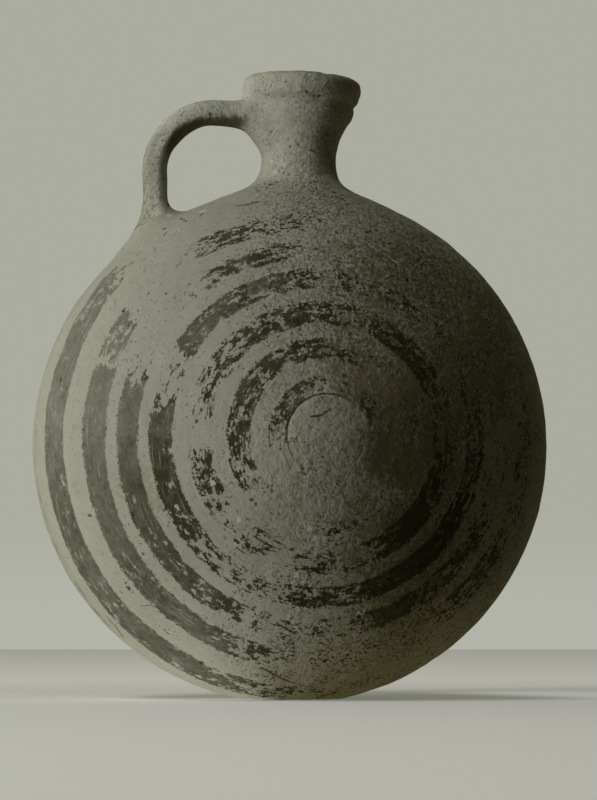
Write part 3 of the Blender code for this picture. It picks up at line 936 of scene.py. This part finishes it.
def neck_roughness(at):
    """The same for the neck, with the painted shade on the handle's inner side found from its bend."""
    at.relief = at.rough = step(at.x + (at.patch - 0.5) * 16, -9, 6) * 0.5 + 0.45
    bend = joined((BEND_MIDDLE[0] - at.x).most(0.0), 0.0,
                  (at.z + (CENTRE_Z - BEND_MIDDLE[1])).most(0.0))
    at.out = Shade.vector("DISTANCE", bend, (0, 0, 0))
    # Painted shade on the handle's inner side, strongest at its top
    at.inner = (step(at.out + (at.mottle - 0.5) * 5, 25.0, 21.5) * step(at.x, -20, -27)
                * (step(at.z, 126, 142) * 0.7 + 0.3))


def clay_tone(at, painted):
    """How pale the clay is, about a half on the whole, with painted light and painted shade in it."""
    tone = ((at.soft - 0.5) * 0.5 + (at.patch - 0.5) * 0.55
            + (at.mottle - 0.5) * (0.45 + at.rough * 0.45)
            + (at.grain - 0.5) * (0.40 + at.rough * (1.8 if painted else 1.2)) + 0.5)
    if not painted:
        # Darker on the outer side of the handle's upright: painted shade
        outer = step(at.out, 27, 31) * step(at.z, 150, 140) * step(at.x, -30, -50)
        return tone - at.inner * 0.5 - outer * 0.22
    # Paler at the lower left of the face: painted light from below, on clay that is paler there as well
    worn = zone(at, x=-30, z=-108, outer=74, inner=22, ragged=30)
    # Painted shade on the right of the face, in dark clay colour
    painted_shade = 0.0
    for x, z, outer, inner, ragged, strength in PAINTED_SHADE_PLACES:
        painted_shade = (zone(at, x, z, outer, inner, ragged) * strength).most(painted_shade)
    return tone + worn * 0.44 + at.top * 0.26 - painted_shade * 0.52


def lime_light_and_shade(at, clay):
    """Lime with painted light on the handle's top and on the inner side of its upright, paler towards
    lime on the neck's right, and painted shade inside the handle's bend.
    """
    # Painted light, in lime colour, on the handle's top and on the inner side of its upright
    lime_and_painted_light = step(at.z, 144, 152) * step(at.x, -19, -26)
    lime_and_painted_light = lime_and_painted_light.most(step(at.out, 29, 25.5) * step(at.x, -44, -56)) * (1 - at.inner)
    clay = colour_between(lime_and_painted_light.most(step(at.x, -12, 10) * 0.35) * 0.85, clay, LIME_AND_LIGHT)
    # Painted shade inside the handle's bend
    return colour_between(at.inner * 0.45, clay, PIT_AND_SHADE)


def ring_paint(at):
    """How dark the paint lies: each ring's own wear in front, and even rings behind."""
    at.turn = Shade.math("ARCTAN2", at.y.size() / BODY_DEPTH, at.radius / BODY_RADIUS)
    ragged = at.turn + (noise(at.centred, 0.03, 2.0) - 0.5) * 0.020 + (at.flecks - 0.5) * 0.05
    held = noise(joined(at.x * 0.10, at.z * 0.10, at.turn * 20.0), 1.0, 2.0)
    flakes = noise(joined(at.x * 0.20, at.z * 0.20, at.turn * 38.0), 1.0, 5.0, 0.76)
    at.streaks = noise(joined(at.x * 0.055, at.z * 0.055, at.turn * 105.0), 1.0, 3.0, 0.6)
    share_round = Shade.math("ARCTAN2", at.z, at.x) / TURN + 0.5
    front_paint = back_paint = density = 0.0
    for inner, outer, dense, wear in FRONT_RINGS:
        inner_turn, outer_turn = meridian(inner), meridian(outer)
        band = (step(ragged, outer_turn - RING_EDGE, outer_turn + RING_EDGE)
                * step(ragged, inner_turn + RING_EDGE, inner_turn - RING_EDGE))
        stops = [((degrees + 180) / 360, level) for degrees, level in wear]
        left = Shade.node("ShaderNodeValToRGB", {"stops": stops}, {"Fac": share_round}, output=1)
        front_paint = band * left + front_paint
        back_paint = band + back_paint
        density = band * dense + density
    back_left = step(noise(at.centred, 0.012, 2.0), 0.36, 0.62) * 0.45 + 0.35
    on_front = step(at.y, 3.0, -3.0)
    amount = back_paint * back_left + on_front * (front_paint - back_paint * back_left)
    # A last ring just past the edge shows only as dashes down the left
    last_ring = (step((at.y + 0.5).size(), 4.2, 2.6) * step(at.x, -74.0, -90.0)
                 * step(at.streaks, 0.50, 0.62) * 0.62)
    amount = (amount * step(at.radius, 123.4, 122.4)).most(last_ring)

    # Paint holds where the cover is over a cut that falls with the amount
    cover = ((held - 0.5) * 0.65 + (flakes - 0.5) * 1.6 + (at.streaks - 0.5) * 0.5
             + (at.flecks - 0.5) * (0.40 + at.rough * 0.75) + 0.5)
    cut = 0.84 - amount * 0.68
    covered = step(cover, cut - 0.012, cut + 0.012) * step(amount, 0.02, 0.08)

    # Thin where the brush left streaks, and full where only flakes are left
    scratched = step(at.streaks, 0.60, 0.68) * 0.35
    lower = step(at.z + (at.soft - 0.5) * 40, 12.0, -38.0) * 0.20
    filmy = step(at.z, 0.0, 20.0) * step(at.x, -46.0, -62.0) * step(at.radius, 88.0, 94.0) * 0.75
    flaky = step(amount, 0.74, 0.54) * (1 - filmy)
    film = density + lower + (flakes - 0.5) * 0.7 + (at.patch - 0.5) * 0.5 - scratched
    return covered * film.most(flaky * 0.94).least(1.0)


def disc_groove_shadow(at):
    """Painted shadow in the groove round the disc, darkest at the upper left and fading at the lower
    right.
    """
    facing = Shade.math("COSINE", Shade.math("ARCTAN2", at.z, at.x) - GROOVE_SHADOW_AT)
    groove = (step((at.radius - 18.75 + (at.mottle - 0.5) * 0.9).size(), 0.62, 0.22)
              * step(at.y, -60.0, -70.0))
    return groove * (step(facing, -0.1, 0.65) * 0.85 + 0.12)


def make_clay(name, painted):
    """Fired clay: the body's with its painted rings, or the plain clay of the neck and handle."""
    material, shader = new_material(name, roughness=0.9, specular=0.06)
    at = clay_places()
    if painted:
        body_roughness(at)
        all_pits, all_cracks, all_chips = BODY_PITS, BODY_CRACKS, BODY_CHIPS
    else:
        neck_roughness(at)
        all_pits, all_cracks, all_chips = NECK_PITS, NECK_CRACKS, NECK_CHIPS
    tone = clay_tone(at, painted)
    clay = colour_between(step(tone, 0.47, 0.06), CLAY, CLAY_DARK_AND_SHADE)
    clay = colour_between(step(tone, 0.50, 0.90), clay, CLAY_PALE_AND_LIGHT)

    speck_cut = 0.63 - at.rough * 0.075 - (at.patch - 0.5) * 0.14
    if painted:
        speck_cut = speck_cut + at.middle * 0.045
    specks = step(at.flecks, speck_cut, speck_cut + 0.03)
    grits = step(at.grain, 0.34 + at.rough * 0.03, 0.27 + at.rough * 0.03) * (0.25 + at.rough * 0.50)
    clay = colour_between(grits, clay, LIME_AND_LIGHT)
    if not painted:
        clay = lime_light_and_shade(at, clay)

    wobble = (at.flecks - 0.5) * 4.5
    pits_and_groove_shadow = spots(at.centred, wobble, all_pits).most(lines(at.centred, wobble * 0.5, all_cracks))
    chips = spots(at.centred, wobble, all_chips)
    height = ((at.grain - 0.5) * (0.12 + at.relief * 0.60)
              + (at.mottle - 0.5) * (0.18 + at.relief * 0.85) - specks * 0.14)
    if painted:
        clay = colour_between(ring_paint(at), clay, PAINT)
        # The groove round the disc takes painted shadow in the dark colour of the pit marks
        pits_and_groove_shadow = pits_and_groove_shadow.most(disc_groove_shadow(at))
        rubbed = lines(at.centred, wobble * 0.3, BODY_SCRATCHES)
        clay = colour_between(rubbed * 0.4, clay, CLAY_PALE_AND_LIGHT)
        height = height + (at.streaks - 0.5) * 0.18

    speckled = specks * (0.45 + step(at.patch, 0.38, 0.62) * 0.35) * (1.0 if painted else 0.6)
    clay = colour_between(speckled, clay, PIT_AND_SHADE)
    clay = colour_between(chips * (0.8 if painted else 0.45), clay, LIME_AND_LIGHT)
    clay = colour_between(pits_and_groove_shadow * 0.85, clay, PIT_AND_SHADE)
    bump = Shade.node("ShaderNodeBump", None, {"Strength": 1.0, "Distance": MM, "Height": height})
    clay.into(shader, "Base Color")
    bump.into(shader, "Normal")
    return material


clays = {"painted_clay": make_clay("painted clay", True), "plain_clay": make_clay("plain clay", False)}

for piece, nodes in pieces.items():
    slot = "plain_clay" if piece in (neck, handle) else "painted_clay"
    piece.data.materials.clear()
    piece.data.materials.append(clays[slot])
    active(piece)
    bpy.ops.object.shade_smooth_by_angle(angle=math.radians(60))
    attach(piece, "root")
    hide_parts(*nodes)


# Stage, in metres

CAMERA_LENS = 142.1
AIM_ASIDE, AIM_HEIGHT = 0.0036, 0.1416
KEY_AZIMUTH = math.radians(198.5)
LAMP_DISTANCE = 2.2
LAMP_AIM = Vector((0, 0, 0.13))
FLOOR_SIZE = (9.0, 4.4, 1)

# What the camera sees of the floor and the backdrop
FLOOR_NEAR = (0.12, 0.128, 0.118, 1)
FLOOR_FAR = (0.21, 0.215, 0.205, 1)
# Painted light that lifts the far part of the jug's shadow
FLOOR_PAINTED_LIGHT = (0.31, 0.325, 0.325, 1)
FLOOR_FINISH = (0.90, 0.90, 0.94, 1)
BACKDROP_LOW = (0.448, 0.458, 0.405, 1)
BACKDROP_HIGH = (0.408, 0.415, 0.354, 1)
# The light that they throw back on the jug. The floor's part is a glow of painted bounce light, and for
# this light its own colour is darkened
DARK_FLOOR = (0.015, 0.013, 0.007, 1)
LIT_UNDER_JUG = (0.16, 0.142, 0.070, 1)
LIT_BY_WINDOW = (0.60, 0.585, 0.49, 1)
FLOOR_DARKENED_FOR_BOUNCE = (0.05, 0.046, 0.03, 1)
PALE_BEHIND = (0.30, 0.265, 0.13, 1)
DARK_ROOM = (0.008, 0.007, 0.003, 1)
CEILING = (0.07, 0.063, 0.035, 1)


def seen_directly():
    """1 for what the camera, gloss and glass show, and 0 for the light that falls on the jug."""
    rays = Shade.node("ShaderNodeLightPath").socket.node.outputs
    seen = Shade(rays["Is Camera Ray"]).most(Shade(rays["Is Glossy Ray"]))
    return seen.most(Shade(rays["Is Transmission Ray"]))


def distance_to(azimuth, place):
    """How far a place lies in a level direction."""
    return Shade.vector("DOT_PRODUCT", place, (math.cos(azimuth), math.sin(azimuth), 0))


def floor_material():
    """A pale finish under the jug's shadow. It glows on the jug with painted bounce light, mostly from
    behind, and is darkened for the light that it reflects on the jug.
    """
    material, shader = new_material("pale floor", roughness=0.95, specular=0.1)
    shader.inputs["Emission Strength"].default_value = 1.0
    direct = seen_directly()
    spot = Shade.node("ShaderNodeTexCoord", output=OBJECT)
    behind = distance_to(CAMERA_AZIMUTH + TURN / 4, spot)
    shown = colour_between(step(behind, 0.10, 0.50), FLOOR_NEAR, FLOOR_FAR)
    # The far part of the jug's shadow is lifted by painted light, so that the shadow fades softly away
    # to the right
    down_shadow = distance_to(KEY_AZIMUTH + TURN / 2, spot)
    beside_shadow = distance_to(KEY_AZIMUTH + TURN / 4, spot).size()
    painted_light_in_shadow = (step(down_shadow, 0.094, 0.156) * step(down_shadow, 0.28, 0.17)
             * step(beside_shadow, 0.11, 0.03))
    shown = colour_between(painted_light_in_shadow, shown, FLOOR_PAINTED_LIGHT)
    # Painted bounce light: the floor glows on the jug, most close under it, behind it and towards the
    # lamps
    close = step(Shade.vector("DISTANCE", spot, (0, 0, 0)), 0.20, 0.10)
    bounced = colour_between(close, DARK_FLOOR, LIT_UNDER_JUG)
    bounced = colour_between(step(behind, 0.0, 0.30), bounced, PALE_BEHIND)
    toward_key = distance_to(KEY_AZIMUTH, Shade.vector("NORMALIZE", spot, (0, 0, 0)))
    bounced = colour_between(step(toward_key, 0.66, 0.95), bounced, LIT_BY_WINDOW)
    colour_between(direct, bounced, shown).into(shader, "Emission Color")
    # For the light that it reflects on the jug, the floor's colour is darkened
    colour_between(direct, FLOOR_DARKENED_FOR_BOUNCE, FLOOR_FINISH).into(shader, "Base Color")
    return material


def make_floor():
    bpy.ops.mesh.primitive_plane_add(size=1)
    floor = bpy.context.object
    floor.name = "floor"
    bpy.ops.object.mode_set(mode="EDIT")
    bpy.ops.transform.resize(value=FLOOR_SIZE)
    bpy.ops.transform.rotate(value=-CAMERA_AZIMUTH, orient_axis="Z", center_override=(0, 0, 0))
    bpy.ops.object.mode_set(mode="OBJECT")
    floor.data.materials.append(floor_material())


def make_room():
    """The room is dark in front of the jug, and the pale backdrop shines a little from behind it."""
    world = bpy.data.worlds.new("studio")
    bpy.context.scene.world = world
    world.use_nodes = True
    Shade.tree = world.node_tree
    way = Shade.node("ShaderNodeTexCoord", output=GENERATED)
    way = Shade.node("ShaderNodeSeparateXYZ", None, {"Vector": way})
    _, behind, up = way.all_outputs()
    room = colour_between(step(behind, 0.15, 0.80), DARK_ROOM, PALE_BEHIND)
    room = colour_between(step(up, 0.5, 0.8), room, CEILING)
    backdrop = colour_between(step(up, -0.002, 0.035), BACKDROP_LOW, BACKDROP_HIGH)
    colour_between(seen_directly(), room, backdrop).into(world.node_tree.nodes["Background"], "Color")


def make_lamp(name, azimuth, rise, size, energy, colour):
    """A soft square lamp that looks at the middle of the jug."""
    data = bpy.data.lights.new(name, "AREA")
    data.size = size
    data.energy = energy
    data.color = colour
    lamp = bpy.data.objects.new(name, data)
    bpy.context.scene.collection.objects.link(lamp)
    way = Vector((
        math.cos(azimuth) * math.cos(rise), math.sin(azimuth) * math.cos(rise), math.sin(rise)))
    lamp.location = LAMP_AIM + way * LAMP_DISTANCE
    lamp.rotation_euler = (-way).to_track_quat("-Z", "Y").to_euler()


def make_camera():
    data = bpy.data.cameras.new("camera")
    data.sensor_fit = "VERTICAL"
    data.sensor_height = 36
    data.lens = CAMERA_LENS
    data.clip_start = 0.05
    data.clip_end = 30
    camera = bpy.data.objects.new("camera", data)
    bpy.context.scene.collection.objects.link(camera)
    bpy.context.scene.camera = camera
    camera.location = CAMERA_PLACE
    aim = CAMERA_RIGHT * AIM_ASIDE + Vector((0, 0, AIM_HEIGHT))
    camera.rotation_euler = (aim - CAMERA_PLACE).to_track_quat("-Z", "Y").to_euler()


make_floor()
make_room()
make_lamp("low window", KEY_AZIMUTH, rise=math.radians(0.8), size=0.48, energy=28, colour=(1, 1, 1))
make_lamp("high window", KEY_AZIMUTH + math.radians(12), rise=math.radians(50), size=0.8, energy=13,
          colour=(1, 0.985, 0.89))
make_camera()
bpy.context.scene.view_settings.view_transform = "Standard"
